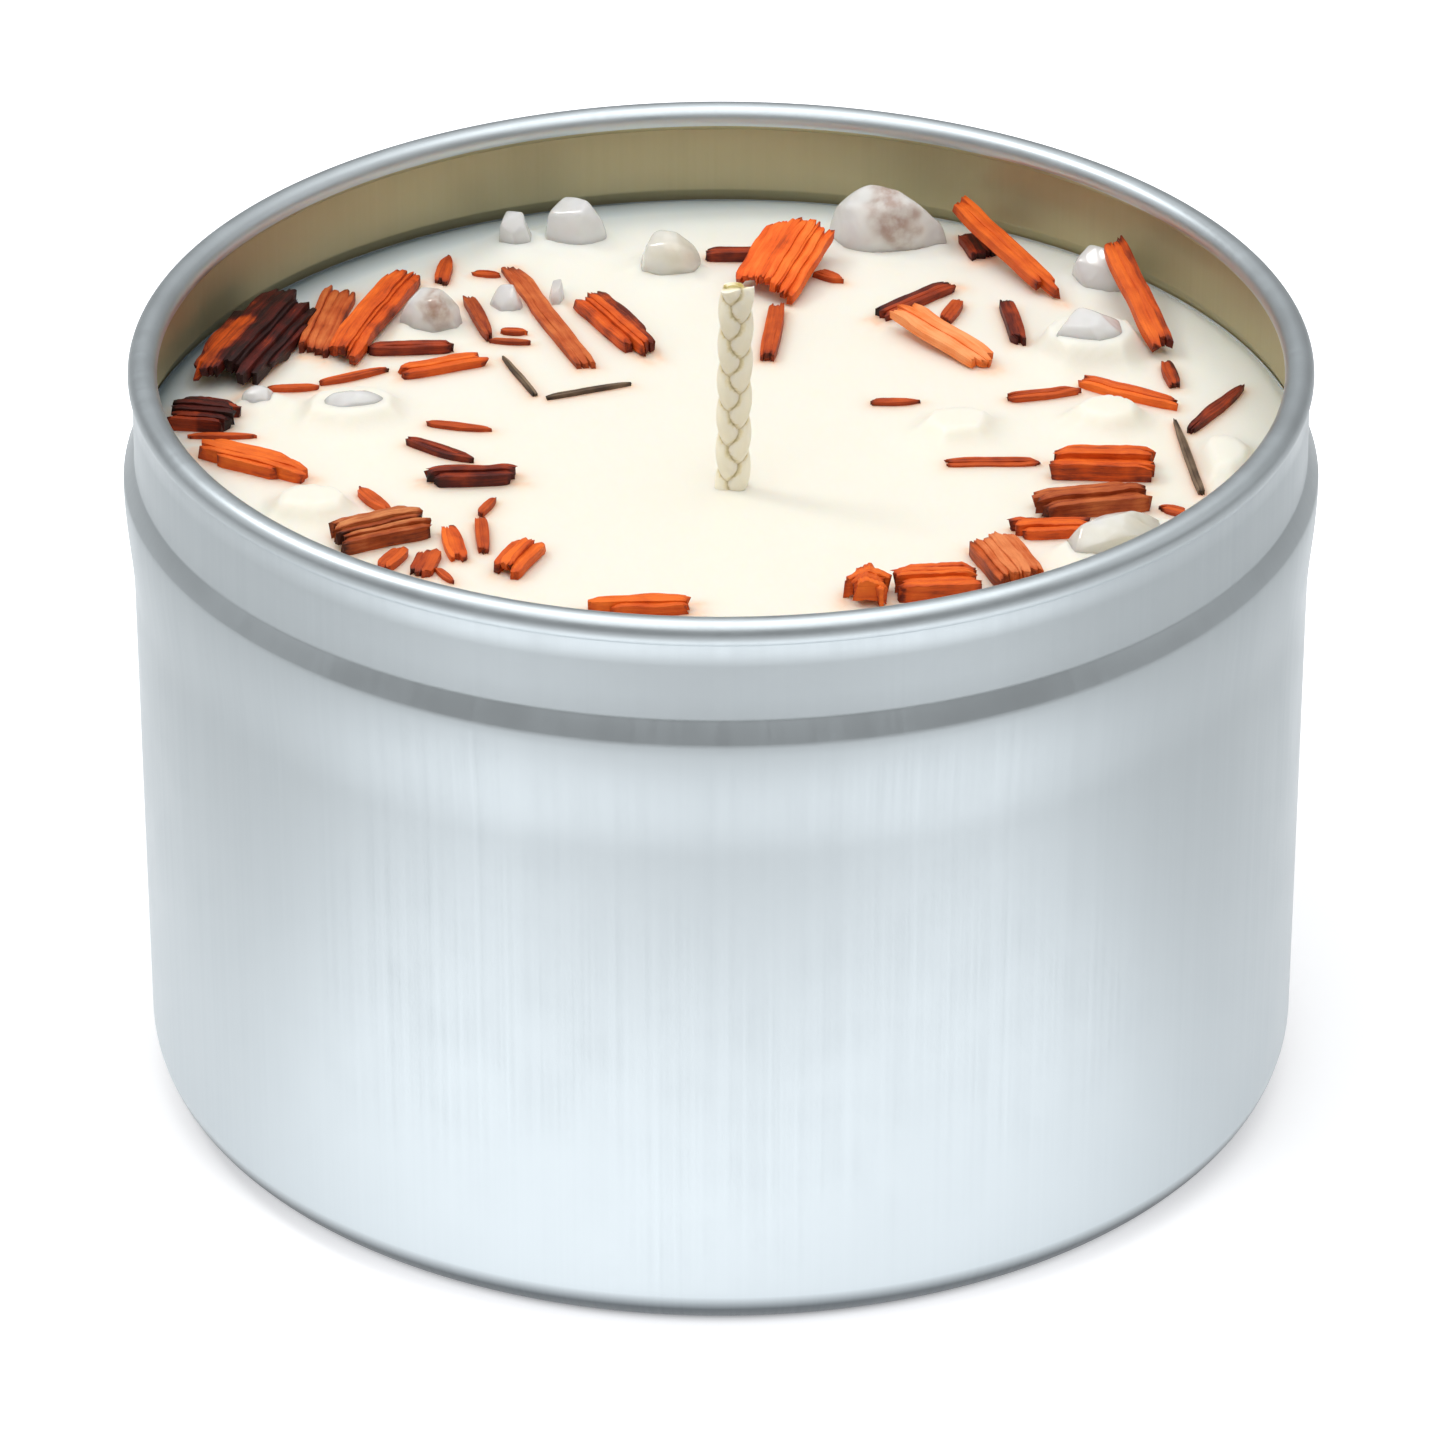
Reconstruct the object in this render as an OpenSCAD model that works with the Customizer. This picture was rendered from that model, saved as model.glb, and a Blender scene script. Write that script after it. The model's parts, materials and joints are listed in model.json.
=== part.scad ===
// Candle tin: drawn steel cup with a lid neck, filled with wax, topped with quartz pebbles and wood chips.
// Units are millimetres. +Z is up. The origin is on the tin's axis, on the surface it stands on.

/* [Tin] */

// Height to the top of the curled rim
tin_h = 51.5; // [50:0.5:56]

// Outer radius of the curled rim
rim_r = 38.2; // [38.1:0.1:38.2]

// Radius of the rim's curl
curl_r = 0.95; // [0.8:0.05:1]

// Outer radius of the neck that a slip lid goes over
neck_r = 37.95; // [37.8:0.05:38]

// Height of the foot of the neck
neck_z = 44.8; // [44.4:0.1:45]

// Outer radius of the bead under the shoulder
bead_r = 38.7; // [38.4:0.1:39]

// Height of the bead's widest line
bead_z = 43.2; // [42.8:0.1:43.4]

// Outer radius at the top of the straight wall
wall_r = 38.2; // [38:0.1:38.3]

// Outer radius at the foot of the straight wall
foot_r = 38; // [37.8:0.1:38.2]

// Radius of the rounded corner between wall and base
corner_r = 4; // [2:0.5:5]

// Thickness of the sheet
sheet = 0.28; // [0.2:0.02:0.32]

/* [Wax] */

// Height of the wax surface
wax_z = 44; // [43.6:0.1:44.2]

// Gap left at the wall where the wax has shrunk
wax_gap = 0.05; // [0.02:0.01:0.1]

// Depth that the pebbles are set into the wax
sink = 0.8; // [0.5:0.1:1.5]

/* [Wick] */

// Height of the wick's cut end
wick_top = 58.5; // [54:0.5:62]

// Width of the flat braid
wick_w = 2.3; // [2:0.1:2.8]

// Thickness of the flat braid
wick_t = 1.4; // [1:0.1:1.8]

// Place of the wick, left to right
wick_x = 0; // [-1:0.1:1]

// Place of the wick, front to back
wick_y = -5.6; // [-6:0.1:-5]

// Lean of the wick to the right, in degrees
wick_lean = 1; // [0:0.5:2]

/* [View] */

// Which node to draw

/* [Hidden] */

$fn = 96;

orange = "#E8601C";
rust = "#B8431A";
terracotta = "#C8603A";
maroon = "#5E160D";

// Base: the seat ring's inner radius, the panel's radius and how far the panel is raised.
seat_r = 32.5;
panel_r = 31.7;
panel_z = 0.6;

// Each pebble: place [x, y], turn, size [length, width, height], seed of its outline.
peak = [[-14, 30.6], 10, [2.6, 2.6, 2.4], 1];
tall = [[-10, 31.2], -30, [5, 3.6, 3.2], 2];
round_one = [[-3.4, 26.6], 20, [4.8, 4.4, 2.8], 3];
split_left = [[-14.4, 20.4], 80, [3, 2.6, 1.8], 4];
split_right = [[-11, 21.8], 90, [2.4, 1.2, 1.6], 5];
grey = [[-19.4, 17.8], 0, [4.6, 3.8, 2.8], 6];
left_small = [[-30.2, 6.2], 0, [3, 2.4, 1.4], 7];
left_long = [[-24, 5], 15, [6, 4, 1.8], 8];
left_front = [[-26.2, -8.8], 0, [4.4, 3.4, 1], 9];
great = [[11.4, 30.4], 0, [9, 5, 4.2], 10];
right_back = [[25.6, 24.2], 135, [5, 3.4, 2.8], 11];
right_mid = [[24.4, 14], 0, [6.4, 5, 3], 12];
right_edge = [[32.4, -2.2], 80, [4.4, 3, 1], 13];
cream = [[25, -13.8], 28, [9, 4.2, 2.4], 14];
low_centre = [[15.4, 2.4], 20, [4, 3.4, 0.8], 15];
low_right = [[25.2, 4], 10, [4, 3.2, 1], 16];

pebbles = [peak, tall, round_one, split_left, split_right, grey, left_small, left_long, left_front,
    great, right_back, right_mid, right_edge, cream, low_centre, low_right];

// Points of the wall, from the base corner up to the top of the neck, moved inwards by inset.
function wall(inset) = concat(
    [for (a = [0:15:90]) [foot_r - corner_r + (corner_r - inset) * sin(a),
        corner_r - (corner_r - inset) * cos(a)]],
    [for (k = [0:1:8]) let (s = k / 8)
        [wall_r - inset + (bead_r - wall_r) * (1 - cos(180 * s)) / 2,
        bead_z - 3 * (1 - s)]],
    [[bead_r - inset - 0.06, bead_z + 0.35],
    [neck_r - inset + 0.05, neck_z - 0.12],
    [neck_r - inset, neck_z],
    [neck_r - inset, tin_h - curl_r]]);

// The same wall cut off at a height, for the wax that was poured against it.
function wall_below(inset, top) = [for (p = wall(inset)) if (p[1] < top) p];

// Radius of the inner wall at the wax surface, on the slope between bead and neck.
wax_edge = bead_r - 0.06 - sheet - wax_gap
    - (wax_z - bead_z - 0.35) * (bead_r - neck_r - 0.11) / (neck_z - bead_z - 0.47);

// Outline of a pebble at the wax surface: uneven, with nine corners 40 degrees apart or so.
function outline(size, seed, k) = let (r = rands(0.82, 1, 9, seed), d = rands(-12, 12, 9, seed + 50))
    [for (i = [0:8]) let (a = 40 * i + d[i]) [k * r[i] * size[0] * cos(a) / 2, k * r[i] * size[1] * sin(a) / 2]];

function lifted(ring, z) = [for (p = ring) [p[0], p[1], z]];

// Side faces between two rings of n points, the first ring starting at point a and the next at b.
function band(a, b, n) = [for (i = [0:n - 1]) let (j = (i + 1) % n)
    for (f = [[a + i, b + j, a + j], [a + i, b + i, b + j]]) f];

module pebble(p) {
    size = p[2];
    seed = p[3];
    h = size[2];
    points = concat(
        lifted(outline(size, seed, 1), -sink),
        lifted(outline(size, seed, 1), 0),
        lifted(outline(size, seed + 1, 0.9), 0.45 * h),
        lifted(outline(size, seed + 2, 0.66), 0.85 * h),
        lifted(outline(size, seed + 3, 0.32), h));
    faces = concat(
        [[for (i = [0:8]) i]],
        band(0, 9, 9), band(9, 18, 9), band(18, 27, 9), band(27, 36, 9),
        [[for (i = [8:-1:0]) 36 + i]]);
    color("#DEDDD0")
        translate([p[0][0], p[0][1], wax_z])
            rotate([0, 0, p[1]])
                polyhedron(points, faces);
}

// Half width along a chip, for s from 0 to 1: full in the middle, ends[0] and ends[1] of it at the ends.
function half_width(w, ends, s) = let (e = s < 0.5 ? ends[0] : ends[1])
    w / 2 * (e + (1 - e) * sin(180 * s));

// One grid point of a chip. Its ends are ragged, and its face is fluted along the grain.
function chip_point(size, ends, cup, bow, ragged, flute, i, j, n, m, up, r) =
    let (s = i / n, u = 2 * s - 1, v = 2 * j / m - 1,
        out = (i == 0 || i == n) ? ragged * r[j + (i == 0 ? 0 : m)] : 0)
    [u * (size[0] / 2 - out), v * half_width(size[1], ends, s),
        cup * (1 - v * v) + bow * (1 - u * u) + up * (size[2] - (j % 2) * flute)];

// A chip of wood along X, arched by cup across it and by bow along it, resting on z = 0.
module shaving(size, ends, cup, bow, ragged, flute, seed, n, m) {
    r = rands(0, 1, 2 * m + 2, seed);
    row = m + 1;
    base = (n + 1) * row;
    points = [for (up = [0, 1]) for (i = [0:n]) for (j = [0:m])
        chip_point(size, ends, cup, bow, ragged, flute, i, j, n, m, up, r)];
    low = [for (i = [0:n - 1]) for (j = [0:m - 1]) let (a = i * row + j)
        for (f = [[a, a + row + 1, a + 1], [a, a + row, a + row + 1]]) f];
    high = [for (i = [0:n - 1]) for (j = [0:m - 1]) let (a = base + i * row + j)
        for (f = [[a, a + 1, a + row + 1], [a, a + row + 1, a + row]]) f];
    sides = [for (i = [0:n - 1]) let (a = i * row, b = i * row + m)
        for (f = [[a, base + a + row, a + row], [a, base + a, base + a + row],
            [b, b + row, base + b + row], [b, base + b + row, base + b]]) f];
    tips = [for (j = [0:m - 1]) let (a = j, b = n * row + j)
        for (f = [[a, a + 1, base + a + 1], [a, base + a + 1, base + a],
            [b, base + b + 1, b + 1], [b, base + b, base + b + 1]]) f];
    polyhedron(points, concat(low, high, sides, tips));
}

// A chip laid on the wax at [x, y], turned in plan, tilted along and leaned across, and raised by lift.
module chip(at, turn, size, ends = [0.7, 0.7], cup = 0, bow = 0, ragged = 0.4, flute = 0.1, seed = 1,
        tilt = 0, lean = 0, lift = 0, n = 6, m = 4) {
    rise = lift + size[0] / 2 * sin(abs(tilt)) + size[1] / 2 * sin(abs(lean));
    translate([at[0], at[1], wax_z + rise])
        rotate([0, 0, turn])
            rotate([lean, -tilt, 0])
                shaving(size, ends, cup, bow, ragged, flute, seed, n, m);
}

// A thin sliver: a small chip with fewer facets.
module sliver(at, turn, size, ends = [0.5, 0.3], seed = 1, lift = 0, tilt = 0) {
    chip(at, turn, size, ends, ragged = 0.2, flute = 0, seed = seed, tilt = tilt, lift = lift, n = 4, m = 2);
}

module curl_profile() {
    translate([rim_r - curl_r, tin_h - curl_r])
        difference() {
            circle(curl_r);
            circle(curl_r - sheet);
            polygon([[0, 0], [-0.6, -3], [3, -3], [0.5, -0.3]]);
        }
}

module tin() {
    top = tin_h - curl_r;
    color("#AEBBC2")
        rotate_extrude() {
            difference() {
                polygon(concat([[0, panel_z], [panel_r, panel_z], [seat_r, 0]], wall(0), [[0, top]]));
                polygon(concat([[0, panel_z + sheet], [panel_r - 0.1, panel_z + sheet], [seat_r - 0.1, sheet]],
                    wall(sheet), [[neck_r - sheet, top + 1], [0, top + 1]]));
            }
            curl_profile();
        }
}

module wick_solid(grow) {
    w = wick_w - wick_t;
    translate([wick_x, wick_y, 2])
        rotate([0, wick_lean, 0])
            linear_extrude(wick_top - 2 + grow) {
                square([w, wick_t], center = true);
                translate([-w / 2, 0])
                    circle(d = wick_t);
                translate([w / 2, 0])
                    circle(d = wick_t);
            }
}

module tab_solid() {
    floor_z = panel_z + sheet + 0.1;
    translate([wick_x, wick_y, floor_z]) {
        cylinder(h = 0.3, r = 10);
        cylinder(h = 6, r = 1.9);
    }
}

module wax() {
    inset = sheet + wax_gap;
    color("#FBF7EA")
        difference() {
            rotate_extrude()
                polygon(concat([[0, panel_z + inset], [panel_r - 0.1, panel_z + inset], [seat_r - 0.1, inset]],
                    wall_below(inset, wax_z), [[wax_edge, wax_z], [0, wax_z]]));
            wick_solid(1);
            tab_solid();
            for (p = pebbles)
                translate([p[0][0], p[0][1], wax_z - sink])
                    rotate([0, 0, p[1]])
                        linear_extrude(sink + 1)
                            polygon(outline(p[2], p[3], 1));
        }
}

module wick() {
    color("#EFE3C4")
        wick_solid(0);
}

module wick_tab() {
    color("#B9BCBE")
        difference() {
            tab_solid();
            wick_solid(0);
        }
}

module quartz_peak() pebble(peak);
module quartz_tall() pebble(tall);
module quartz_round() pebble(round_one);
module quartz_split_left() pebble(split_left);
module quartz_split_right() pebble(split_right);
module quartz_grey() pebble(grey);
module quartz_left_small() pebble(left_small);
module quartz_left_long() pebble(left_long);
module quartz_left_front() pebble(left_front);
module quartz_great() pebble(great);
module quartz_right_back() pebble(right_back);
module quartz_right_mid() pebble(right_mid);
module quartz_right_edge() pebble(right_edge);
module quartz_cream() pebble(cream);
module quartz_low_centre() pebble(low_centre);
module quartz_low_right() pebble(low_right);

// Left side, from the back to the front.
module bark_great() color(maroon)
    chip([-31, 13.6], 70, [15, 4.6, 1], [0.6, 0.7], cup = 0.8, ragged = 1.6, flute = 0.2, seed = 2, lean = 10);
module bark_edge() color(maroon)
    chip([-33.8, 3.9], -10, [4.8, 3.2, 1], [0.8, 0.6], cup = 0.4, ragged = 0.6, seed = 3);
module plank_fluted() color(terracotta)
    chip([-26.2, 17.8], 80, [10.4, 2.1, 0.9], [0.9, 0.9], ragged = 0.4, flute = 0.3, seed = 4);
module curl_long() color(orange)
    chip([-23.1, 18.4], 72, [14, 2.3, 0.8], [0.9, 0.8], cup = 0.6, bow = 0.3, ragged = 0.8, seed = 5);
module stick_dark_left() color(maroon)
    chip([-20.5, 13.9], 5, [5.6, 1, 0.8], [0.8, 0.7], ragged = 0.3, seed = 6);
module stick_orange_left() color(orange)
    chip([-18.4, 11.4], 20, [6.4, 1.3, 0.8], [0.9, 0.9], ragged = 0.2, seed = 7);
module wedge_left() color(orange)
    chip([-30.2, -2.8], -28, [10, 2, 1], [0.5, 0.5], cup = 0.2, ragged = 0.6, seed = 8);

// Back, left of the wick.
module strip_terracotta() color(terracotta)
    chip([-11.6, 19], -70, [16.5, 1.3, 0.6], [0.9, 1], ragged = 0.4, seed = 9);
module twig_leafy() color(maroon) {
    chip([-16.2, 18.6], -75, [6.4, 0.9, 0.6], [0.8, 0.5], bow = 0.3, ragged = 0.3, seed = 10);
    sliver([-14, 15.2], -8, [2.8, 0.5, 0.4], seed = 11);
}
module twig_vee() color(rust) {
    sliver([-13.3, 10.2], -68, [6.2, 0.4, 0.4], [0.3, 0.9], seed = 12);
    sliver([-8.7, 8], 20, [6, 0.4, 0.4], [0.9, 0.3], seed = 13);
}
module teardrop() color(orange)
    chip([-6.8, 17.2], -62, [10.6, 2.4, 0.9], [0.95, 0.4], cup = 0.3, ragged = 0.4, seed = 14);
module stick_under_curl() color(maroon)
    chip([1.2, 28.1], 3, [4.4, 1, 0.9], [0.9, 0.9], ragged = 0.1, seed = 15);
module curl_bright() color(orange)
    chip([4.1, 25.3], 69, [8.8, 4.6, 0.7], [0.9, 0.9], cup = 0.8, ragged = 0.5, seed = 16, tilt = 10, lift = 0.1);
module stick_dark_centre() color(rust)
    chip([3.4, 16.2], 84, [8, 1.1, 0.9], [0.9, 0.9], ragged = 0.2, seed = 17);

// Back, right of the wick.
module stick_red() color(maroon)
    chip([13, 21.2], 44, [8.2, 1.3, 0.7], [0.8, 0.8], ragged = 0.4, seed = 18);
module strip_light() color(orange)
    chip([14.7, 14.8], -47, [10.4, 2.1, 0.7], [0.7, 0.7], ragged = 0.7, seed = 19, tilt = -6, lift = 0.05);
module lath_leaning() color(orange)
    chip([19.2, 26.6], -56, [14, 1.4, 0.8], [0.9, 0.3], ragged = 0.3, seed = 20, tilt = -11);
module plate_brown() color(maroon)
    chip([17.4, 29.6], -75, [4.6, 2, 0.7], [0.9, 0.9], ragged = 0.2, seed = 21);
module stick_dark_right() color(maroon)
    chip([19.4, 17.8], -83, [6, 1, 0.8], [0.9, 0.9], ragged = 0.2, seed = 22);
module lath_right() color(orange)
    chip([27.6, 18.6], -74, [13, 1.6, 0.8], [0.9, 0.8], ragged = 0.8, seed = 23, tilt = -14, lift = 0.4);
module strip_right() color(orange)
    chip([26.8, 7.4], -31, [7.4, 1.3, 0.7], [0.8, 0.5], ragged = 0.3, seed = 24);
module stick_two_tone() color(rust)
    chip([21.1, 7.3], 15, [5, 0.9, 0.6], [0.6, 0.4], ragged = 0.2, seed = 25);
module sliver_edge() color(maroon)
    chip([32.4, 5.2], 60, [7.6, 0.9, 0.6], [0.4, 0.2], ragged = 0.1, seed = 26);
module twig_long() color(rust)
    chip([30.2, -1.6], -83, [10.4, 0.5, 0.5], [0.3, 0.8], ragged = 0.1, seed = 27);

// Front, right of the wick.
module strip_flat() color(rust)
    chip([17.5, -2.3], 3, [6, 1, 0.4], [0.9, 0.9], ragged = 0.3, seed = 28);
module roll_orange() color(orange)
    chip([24.4, -3.3], -2, [7.2, 2.8, 1.3], [0.8, 0.9], cup = 0.5, ragged = 0.5, flute = 0.4, seed = 29);
module bark_right() color(rust)
    chip([23.8, -8.4], 12, [7.8, 2.8, 1.2], [0.8, 0.9], cup = 0.4, ragged = 0.8, flute = 0.3, seed = 30);
module strip_ribbed() color(orange)
    chip([21, -12], 2, [5.6, 1.6, 1], [0.8, 0.9], ragged = 0.5, flute = 0.3, seed = 31);
module slab_wide() color(orange)
    chip([18, -16.6], -70, [6.2, 3.2, 1], [0.9, 0.8], cup = 0.4, ragged = 0.4, seed = 32);
module block_fluted() color(orange)
    chip([13.6, -19.9], 4, [5.6, 2.8, 1.6], [0.9, 0.9], cup = 0.3, ragged = 0.4, flute = 0.4, seed = 33);
module lump_pointed() color(orange)
    chip([9.2, -20.6], 82, [3, 3.2, 1.4], [0.9, 0.3], cup = 0.6, ragged = 0.3, flute = 0.2, seed = 34);

// Front, left of the wick.
module leaf_dark() color(maroon)
    chip([-18.2, -0.8], -33, [5.2, 0.9, 0.6], [0.6, 0.1], ragged = 0.1, seed = 35);
module stick_bark() color(maroon)
    chip([-16, -4.7], 4, [7, 1.5, 0.9], [0.5, 0.9], cup = 0.2, ragged = 0.6, seed = 36);
module chip_cupped() color(orange)
    chip([-12.8, -16], 67, [5.2, 2, 0.7], [0.8, 0.7], cup = 0.5, ragged = 0.4, seed = 37);
module chip_small() color(orange)
    chip([-17, -13.8], -78, [4.4, 1.2, 0.7], [0.6, 0.9], ragged = 0.1, seed = 38);
module bark_left() color(rust)
    chip([-21.6, -12.4], 25, [6.6, 2.9, 1.2], [0.9, 0.8], cup = 0.5, ragged = 0.9, flute = 0.3, seed = 39);
module wedge_front() color(orange)
    chip([-5.2, -22.4], 3, [8, 1.6, 0.8], [0.2, 0.95], cup = 0.2, ragged = 0.3, seed = 40);

module slivers_back() color(rust) {
    sliver([-24.2, 10], 25, [5, 0.6, 0.5], seed = 41);
    sliver([-28, 8.2], 5, [3.4, 0.6, 0.5], seed = 42);
    sliver([-18.6, 26], 85, [4, 1, 0.5], [0.9, 0.1], seed = 43);
    sliver([-15.8, 25.4], -8, [2, 0.6, 0.4], seed = 44);
    sliver([-13.8, 16.7], -4, [2, 0.6, 0.4], seed = 45);
    sliver([7.4, 25], -35, [2.4, 0.9, 0.5], [0.9, 0.2], seed = 46);
    sliver([15.4, 19.6], 72, [3.6, 0.9, 0.6], [0.9, 0.7], seed = 47);
    sliver([11.4, 6.4], 3, [3.2, 0.7, 0.4], [0.9, 0.1], seed = 48);
    sliver([29.6, 10.2], -82, [3.6, 0.9, 0.6], [0.6, 0.8], seed = 49);
}

module slivers_front() color(rust) {
    sliver([-32.4, 1.4], 0, [4.4, 0.5, 0.4], seed = 50);
    sliver([28.9, -9.1], -25, [2, 0.9, 0.4], [0.4, 0.9], seed = 51);
    sliver([-17, 2.8], -12, [4.6, 0.7, 0.4], [0.8, 0.1], seed = 52);
    sliver([-22.2, -7.9], -55, [3.8, 0.9, 0.6], seed = 53);
    sliver([-20.8, -15.9], 65, [2.8, 1.1, 0.6], [0.8, 0.8], seed = 54);
    sliver([-18.7, -16.4], 78, [3.8, 1.4, 0.6], [0.95, 0.95], seed = 55);
    sliver([-17.4, -18], -60, [2.2, 0.5, 0.4], seed = 56);
    sliver([-14.9, -8.6], 66, [2.6, 0.5, 0.5], [0.8, 0.3], seed = 57);
    sliver([-15.2, -12.6], -85, [4.6, 0.8, 0.6], [0.8, 0.8], seed = 58);
}

tin();
wax();
wick();
wick_tab();
quartz_peak();
quartz_tall();
quartz_round();
quartz_split_left();
quartz_split_right();
quartz_grey();
quartz_left_small();
quartz_left_long();
quartz_left_front();
quartz_great();
quartz_right_back();
quartz_right_mid();
quartz_right_edge();
quartz_cream();
quartz_low_centre();
quartz_low_right();
bark_great();
bark_edge();
plank_fluted();
curl_long();
stick_dark_left();
stick_orange_left();
wedge_left();
strip_terracotta();
twig_leafy();
twig_vee();
teardrop();
stick_under_curl();
curl_bright();
stick_dark_centre();
stick_red();
strip_light();
lath_leaning();
plate_brown();
stick_dark_right();
lath_right();
strip_right();
stick_two_tone();
sliver_edge();
twig_long();
strip_flat();
roll_orange();
bark_right();
strip_ribbed();
slab_wide();
block_fluted();
lump_pointed();
leaf_dark();
stick_bark();
chip_cupped();
chip_small();
bark_left();
wedge_front();
slivers_back();
slivers_front();
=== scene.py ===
import json
import math
import random

import bmesh
import bpy
import numpy as np
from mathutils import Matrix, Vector, noise
from mathutils.bvhtree import BVHTree


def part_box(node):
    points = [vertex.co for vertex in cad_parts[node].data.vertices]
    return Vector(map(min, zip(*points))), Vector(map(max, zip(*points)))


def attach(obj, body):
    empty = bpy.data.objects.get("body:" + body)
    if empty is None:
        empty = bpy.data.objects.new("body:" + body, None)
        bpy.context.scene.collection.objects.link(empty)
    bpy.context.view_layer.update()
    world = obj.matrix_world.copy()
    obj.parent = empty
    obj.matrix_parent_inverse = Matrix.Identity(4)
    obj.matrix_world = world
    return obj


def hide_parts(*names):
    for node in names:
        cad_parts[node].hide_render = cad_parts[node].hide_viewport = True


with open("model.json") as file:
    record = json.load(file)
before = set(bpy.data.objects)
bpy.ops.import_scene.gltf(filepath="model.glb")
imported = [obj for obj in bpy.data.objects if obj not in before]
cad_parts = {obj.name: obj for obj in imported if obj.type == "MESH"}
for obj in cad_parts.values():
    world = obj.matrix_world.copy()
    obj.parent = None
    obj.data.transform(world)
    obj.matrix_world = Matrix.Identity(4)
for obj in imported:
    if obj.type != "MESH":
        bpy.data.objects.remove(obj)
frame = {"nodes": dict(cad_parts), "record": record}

bl_info = {
    "name": "Candle Tin",
    "version": (1, 0, 0),
    "blender": (4, 5, 0),
    "location": "View3D > Sidebar > Candle",
    "description": "Satin candle tin with poured wax, a braided wick, quartz and wood chips",
    "category": "Object",
}

MM = 0.001

# Outer radii of the tin's foot, upright wall and neck, and of its base corner, in millimetres.
FOOT = 38.0
WALL = 38.2
NECK = 37.95
CORNER = 4.0

# Where the braid starts inside the wax, and how far a strand swings front to back, as a share
# of its radius.
WICK_FOOT = 0.042
BRAID_DIP = 0.62

# A chip narrower than this is a sliver, which follows its CAD outline and keeps its points.
SLIVER = 0.0013
# Cross-sections along a fibre bundle, and the shortest bundle that is worth making.
STATIONS = 14
SHORTEST = 0.0003

PEBBLES = [n for n in frame["nodes"] if n.startswith("quartz_")]
CHIPS = [n for n in frame["nodes"]
         if n not in ("tin", "wax", "wick", "wick_tab") and n not in PEBBLES]

# How far each low pebble is waxed over, in millimetres of wax above the level surface.
WAXED_OVER = {
    "quartz_low_centre": 0.6, "quartz_low_right": 0.8, "quartz_left_front": 0.8,
    "quartz_right_edge": 0.7, "quartz_left_long": 0.7, "quartz_right_mid": 1.3,
    "quartz_cream": 0.4, "quartz_left_small": 0.3,
}

# Where a stone holds a brown cloud, as shares of its box, and the cloud's radius in millimetres.
INCLUSIONS = {"quartz_great": (0.55, 0.1, 0.7, 1.5), "quartz_grey": (0.62, 0.1, 0.7, 0.9)}

# How squarely a chip is broken off, from 0, as tapered as it is cut, to 1, square.
SQUARE_ENDED = {
    "bark_great": 0.5, "bark_edge": 0.6, "plank_fluted": 0.95, "curl_long": 0.7, "curl_bright": 0.8,
    "strip_terracotta": 0.9, "lath_leaning": 0.3, "roll_orange": 0.9, "bark_right": 0.9,
    "strip_ribbed": 0.8, "slab_wide": 0.9, "block_fluted": 0.95, "bark_left": 0.95,
    "stick_bark": 0.6, "wedge_front": 0.1, "teardrop": 0.1, "leaf_dark": 0.0, "lump_pointed": 0.2,
}

# Chip colours as dark groove, body and bright ridge, where they differ from their slot's own; the
# dark colour also carries painted shade in grooves and under chips.
CHIP_COLOURS = {
    "wood_orange": ("#611A04", "#CE4E0A", "#F0701C"),
    "wood_rust": ("#431304", "#A83C0A", "#D65C18"),
    "wood_terracotta": ("#612009", "#B84E1C", "#DA7A3E"),
    "wood_maroon": ("#1C0502", "#521206", "#A83C10"),
    "bark_great": ("#260603", "#5A1408", "#D8560E"),
    "curl_bright": ("#A03606", "#E85A0A", "#FA7E2C"),
    "strip_light": ("#C2510F", "#F27C34", "#FCA468"),
    "slab_wide": ("#7E2C0A", "#C4561C", "#E4864E"),
    "twig_long": ("#241A14", "#5A4636", "#8A745C"),
    "twig_leafy": ("#3A0F04", "#8A3010", "#C45A1C"),
    "twig_vee": ("#241A14", "#5A4636", "#8A745C"),
    "bark_right": ("#3E1404", "#9A3E12", "#CC6C34"),
    "bark_left": ("#3E1404", "#A44614", "#DA8C54"),
}

# Chips that are lighter on one flank: from where across the chip, which way, how much, over what
# share of the length, and how much lighter the whole chip is.
FLANKS = {
    "bark_great": (0.1, 1, 0.55, 0.6, -0.45), "stick_bark": (0.0, 1, 0.2, 1, 0),
    "slab_wide": (0.3, -1, -0.2, 1, 0.1), "teardrop": (0.2, 1, -0.5, 1, 0),
    "strip_light": (0.3, -1, 0.2, 1, 0), "bark_edge": (0.4, -1, 0.3, 0.5, -0.3),
}

# How deeply a chip is grooved along its grain, where that differs from a plain split face.
FLUTES = {
    "plank_fluted": 1.0, "block_fluted": 1.1, "strip_ribbed": 0.9, "bark_left": 0.9,
    "bark_right": 0.9, "roll_orange": 0.8, "lump_pointed": 0.7, "bark_great": 0.45,
    "bark_edge": 0.6, "curl_long": 0.5,
}


def linear(colour):
    """sRGB hex to linear RGBA."""
    parts = [int(colour[i:i + 2], 16) / 255 for i in (1, 3, 5)]
    whole = [c / 12.92 if c <= 0.04045 else ((c + 0.055) / 1.055) ** 2.4 for c in parts]
    return (*whole, 1.0)


def add(tree, kind, inputs=None, stops=(), **settings):
    """A node of that kind with its settings and links.

    An input is linked from a socket or a node's first output in use, or holds a plain value.
    Stops are a colour ramp's (position, hex)."""
    made = tree.nodes.new(kind)
    for name, value in settings.items():
        setattr(made, name, value)
    for key, value in (inputs or {}).items():
        if isinstance(value, bpy.types.Node):
            value = next(socket for socket in value.outputs if socket.enabled)
        if isinstance(value, bpy.types.NodeSocket):
            tree.links.new(value, made.inputs[key])
        else:
            made.inputs[key].default_value = value
    for count, (at, colour) in enumerate(stops):
        bar = made.color_ramp.elements
        element = bar[count] if count < len(bar) else bar.new(at)
        element.position = at
        element.color = linear(colour)
    return made


def new_material(name):
    """An empty node material and its tree."""
    mat = bpy.data.materials.new(name)
    mat.use_nodes = True
    mat.node_tree.nodes.clear()
    return mat, mat.node_tree


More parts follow.
